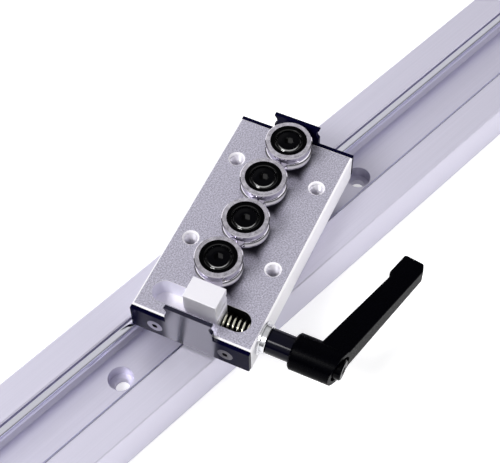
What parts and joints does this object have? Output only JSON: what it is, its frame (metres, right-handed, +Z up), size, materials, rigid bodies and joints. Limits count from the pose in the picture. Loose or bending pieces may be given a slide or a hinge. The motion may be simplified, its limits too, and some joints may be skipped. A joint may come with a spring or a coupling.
{
  "type": "linear guide rail",
  "caption": "Channel rail with inlaid round shafts and a carriage on grooved track rollers that lies upturned across it, with a lever-operated clamp.",
  "frame": {"origin": "centre of the rail's flat base", "axes": "+X along the rail, +Y across it, +Z up from the base through the open side of the channel"},
  "size_m": [0.4, 0.0998, 0.0439],
  "materials": {
    "rail_aluminium": "satin clear anodised",
    "shaft_steel": "hardened and polished",
    "carriage_aluminium": "fine blasted, clear anodised",
    "end_plate_plastic": "glossy black",
    "bright_steel": "bright plated steel",
    "blackened_steel": "blackened steel, slightly glossy",
    "ring_steel": "ground bearing steel",
    "seal_rubber": "satin black",
    "jaw_metal": "bright satin",
    "spring_steel": "bright wire",
    "handle_coating": "satin black coating"
  },
  "bodies": {
    "rail": {"rail_extrusion": "rail_aluminium", "far_shaft": "shaft_steel", "near_shaft": "shaft_steel"},
    "carriage": {"carriage_block": "carriage_aluminium", "near_end_plate": "end_plate_plastic", "far_end_plate": "end_plate_plastic", "end_plate_screws": "bright_steel", "axle_bolts": "blackened_steel", "roller_spacers": "bright_steel", "roller_1_inner_ring": "blackened_steel", "roller_2_inner_ring": "blackened_steel", "roller_3_inner_ring": "blackened_steel", "roller_4_inner_ring": "blackened_steel", "clamp_washer": "bright_steel", "clamp_spring": "spring_steel"},
    "roller_1": {"roller_1_outer_ring": "ring_steel", "roller_1_balls": "ring_steel", "roller_1_upper_seal": "seal_rubber", "roller_1_lower_seal": "seal_rubber"},
    "roller_2": {"roller_2_outer_ring": "ring_steel", "roller_2_balls": "ring_steel", "roller_2_upper_seal": "seal_rubber", "roller_2_lower_seal": "seal_rubber"},
    "roller_3": {"roller_3_outer_ring": "ring_steel", "roller_3_balls": "ring_steel", "roller_3_upper_seal": "seal_rubber", "roller_3_lower_seal": "seal_rubber"},
    "roller_4": {"roller_4_outer_ring": "ring_steel", "roller_4_balls": "ring_steel", "roller_4_upper_seal": "seal_rubber", "roller_4_lower_seal": "seal_rubber"},
    "jaw": {"clamp_jaw": "jaw_metal"},
    "lever_core": {"lever_insert": "blackened_steel", "clamp_stud": "blackened_steel", "lever_screw": "blackened_steel"},
    "handle": {"lever_handle": "handle_coating", "lever_spring": "spring_steel"}
  },
  "joints": [
    {"name": "carriage_travel", "type": "slide", "parent": "rail", "child": "carriage", "axis": [1, 0, 0], "range_m": [-0.14, 0.135]},
    {"name": "roller_1_spin", "type": "hinge", "parent": "carriage", "child": "roller_1", "pos_m": [-0.01626, -0.0041, 0.0395], "axis": [0, 0, 1], "continuous": true},
    {"name": "roller_2_spin", "type": "hinge", "parent": "carriage", "child": "roller_2", "pos_m": [0.00154, 0.00082, 0.0395], "axis": [0, 0, 1], "continuous": true},
    {"name": "roller_3_spin", "type": "hinge", "parent": "carriage", "child": "roller_3", "pos_m": [0.01823, 0.00874, 0.0395], "axis": [0, 0, 1], "continuous": true},
    {"name": "roller_4_spin", "type": "hinge", "parent": "carriage", "child": "roller_4", "pos_m": [0.03603, 0.01367, 0.0395], "axis": [0, 0, 1], "continuous": true},
    {"name": "lever_turn", "type": "hinge", "parent": "carriage", "child": "lever_core", "pos_m": [-0.02237, -0.03124, 0.02855], "axis": [-0.3491, 0.9371, 0], "range_deg": [-180, 360]},
    {"name": "clamp_slide", "type": "slide", "parent": "carriage", "child": "jaw", "axis": [0.3491, -0.9371, 0], "range_m": [-0.00041, 0.00081], "deforming": ["clamp_spring"]},
    {"name": "handle_lift", "type": "slide", "parent": "lever_core", "child": "handle", "axis": [0.3491, -0.9371, 0], "range_m": [0, 0.0035], "stiffness_N_per_m": 800, "springref_m": -0.002, "deforming": ["lever_spring"]}
  ],
  "couplings": [
    {"joint": "clamp_slide", "follows": "lever_turn", "m_per_rad": 0.00012732}
  ]
}
